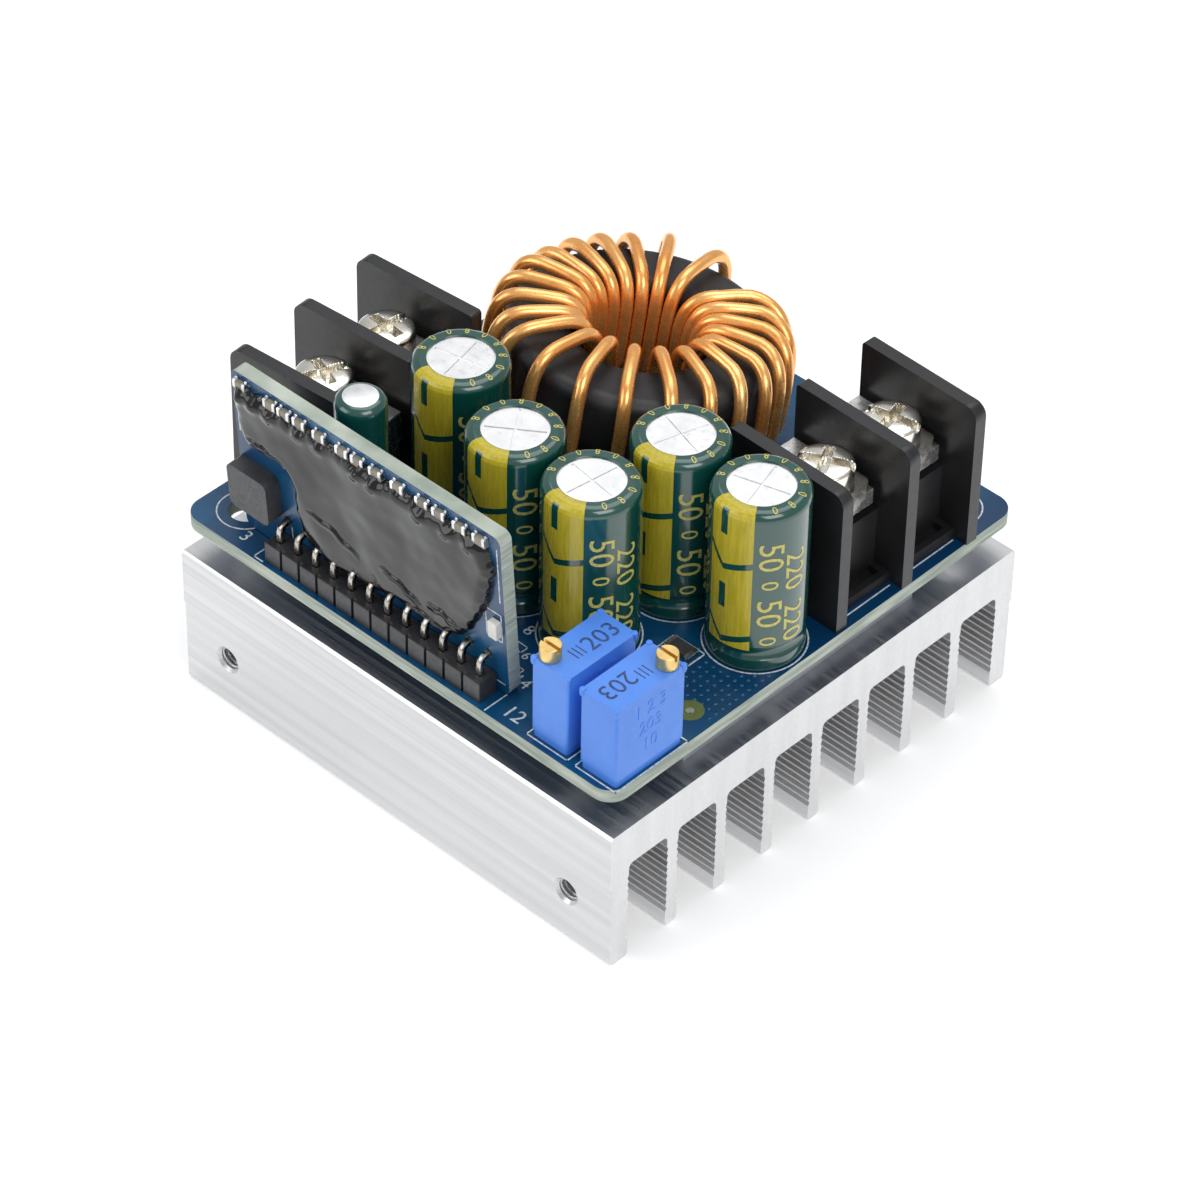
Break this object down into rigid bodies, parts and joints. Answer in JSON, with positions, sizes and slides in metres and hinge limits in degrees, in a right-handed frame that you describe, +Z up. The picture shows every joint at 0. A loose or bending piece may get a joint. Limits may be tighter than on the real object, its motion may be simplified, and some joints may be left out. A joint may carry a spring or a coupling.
{
  "type": "buck converter module",
  "caption": "Step-down DC converter module: circuit board with ring inductor, capacitors, trimmers, screw terminals and a control board on a finned heat sink.",
  "frame": {"origin": "middle of the heat sink's fin tips, where the module stands", "axes": "+X along the fins towards the output terminal, +Y across the fins away from the control board, +Z up through the board"},
  "size_m": [0.0615, 0.06, 0.0443],
  "materials": {
    "extruded_aluminium": "satin as extruded",
    "can_aluminium": "bright drawn",
    "circuit_board": "glossy solder mask over glass fibre laminate",
    "moulded_black": "moulded, slightly glossy",
    "device_black": "matt moulding compound",
    "potting_black": "glossy resin",
    "sleeve_green": "shrunk sleeve, glossy",
    "rubber_black": "matt",
    "pad_grey": "matt filled silicone",
    "core_coating": "pressed powder core with a dark coating",
    "copper_enamel": null,
    "tinned_metal": "tinned",
    "solder": "bright solder",
    "nickel": "nickel plated steel",
    "screw_brass": "turned",
    "trimmer_blue": "moulded",
    "chip_light": "fired ceramic with tinned ends",
    "lamp_white": "clear"
  },
  "bodies": {
    "module": {"capacitor_a": "can_aluminium", "capacitor_b": "can_aluminium", "capacitor_bungs": "rubber_black", "capacitor_c": "can_aluminium", "capacitor_d": "can_aluminium", "capacitor_e": "can_aluminium", "capacitor_leads": "tinned_metal", "control_board": "circuit_board", "control_chips": "chip_light", "control_choke": "device_black", "control_lamp": "lamp_white", "control_potting": "potting_black", "current_shunt": "device_black", "header_block": "moulded_black", "header_pins": "tinned_metal", "heat_sink": "extruded_aluminium", "inductor_core": "core_coating", "inductor_winding": "copper_enamel", "input_contact_a": "tinned_metal", "input_contact_b": "tinned_metal", "input_terminal": "moulded_black", "main_board": "circuit_board", "output_contact_a": "tinned_metal", "output_contact_b": "tinned_metal", "output_terminal": "moulded_black", "power_transistor_a": "device_black", "power_transistor_b": "device_black", "rectifier_a": "device_black", "rectifier_b": "device_black", "sleeve_a": "sleeve_green", "sleeve_b": "sleeve_green", "sleeve_c": "sleeve_green", "sleeve_d": "sleeve_green", "sleeve_e": "sleeve_green", "small_bung": "rubber_black", "small_capacitor": "can_aluminium", "small_leads": "tinned_metal", "small_sleeve": "sleeve_green", "solder_joints": "solder", "thermal_pad_left": "pad_grey", "thermal_pad_right": "pad_grey", "trimmer_a": "trimmer_blue", "trimmer_b": "trimmer_blue", "trimmer_pins": "tinned_metal"},
    "input_clamp_a": {"input_washer_a": "nickel"},
    "input_screw_a": {"input_screw_a": "nickel"},
    "input_clamp_b": {"input_washer_b": "nickel"},
    "input_screw_b": {"input_screw_b": "nickel"},
    "output_clamp_a": {"output_washer_a": "nickel"},
    "output_screw_a": {"output_screw_a": "nickel"},
    "output_clamp_b": {"output_washer_b": "nickel"},
    "output_screw_b": {"output_screw_b": "nickel"},
    "trimmer_screw_a": {"trimmer_screw_a": "screw_brass"},
    "trimmer_screw_b": {"trimmer_screw_b": "screw_brass"}
  },
  "joints": [
    {"name": "input_clamp_a_lift", "type": "slide", "parent": "module", "child": "input_clamp_a", "axis": [0, 0, 1], "range_m": [0, 0.0025]},
    {"name": "input_screw_a_turn", "type": "hinge", "parent": "input_clamp_a", "child": "input_screw_a", "pos_m": [-0.02252, -0.0168, 0.0361], "axis": [0, 0, 1], "range_deg": [0, 1800]},
    {"name": "input_clamp_b_lift", "type": "slide", "parent": "module", "child": "input_clamp_b", "axis": [0, 0, 1], "range_m": [0, 0.0025]},
    {"name": "input_screw_b_turn", "type": "hinge", "parent": "input_clamp_b", "child": "input_screw_b", "pos_m": [-0.02328, -0.00723, 0.0361], "axis": [0, 0, 1], "range_deg": [0, 1800]},
    {"name": "output_clamp_a_lift", "type": "slide", "parent": "module", "child": "output_clamp_a", "axis": [0, 0, 1], "range_m": [0, 0.0025]},
    {"name": "output_screw_a_turn", "type": "hinge", "parent": "output_clamp_a", "child": "output_screw_a", "pos_m": [0.02238, 0.0083, 0.0361], "axis": [0, 0, 1], "range_deg": [0, 1800]},
    {"name": "output_clamp_b_lift", "type": "slide", "parent": "module", "child": "output_clamp_b", "axis": [0, 0, 1], "range_m": [0, 0.0025]},
    {"name": "output_screw_b_turn", "type": "hinge", "parent": "output_clamp_b", "child": "output_screw_b", "pos_m": [0.02262, 0.01789, 0.0361], "axis": [0, 0, 1], "range_deg": [0, 1800]},
    {"name": "trimmer_a_turn", "type": "hinge", "parent": "module", "child": "trimmer_screw_a", "pos_m": [0.01961, -0.0277, 0.034], "axis": [0, 0, 1], "continuous": true},
    {"name": "trimmer_b_turn", "type": "hinge", "parent": "module", "child": "trimmer_screw_b", "pos_m": [0.02834, -0.02071, 0.034], "axis": [0, 0, 1], "continuous": true}
  ],
  "couplings": [
    {"joint": "input_screw_a_turn", "follows": "input_clamp_a_lift", "rad_per_m": 12566},
    {"joint": "input_screw_b_turn", "follows": "input_clamp_b_lift", "rad_per_m": 12566},
    {"joint": "output_screw_a_turn", "follows": "output_clamp_a_lift", "rad_per_m": 12566},
    {"joint": "output_screw_b_turn", "follows": "output_clamp_b_lift", "rad_per_m": 12566}
  ]
}
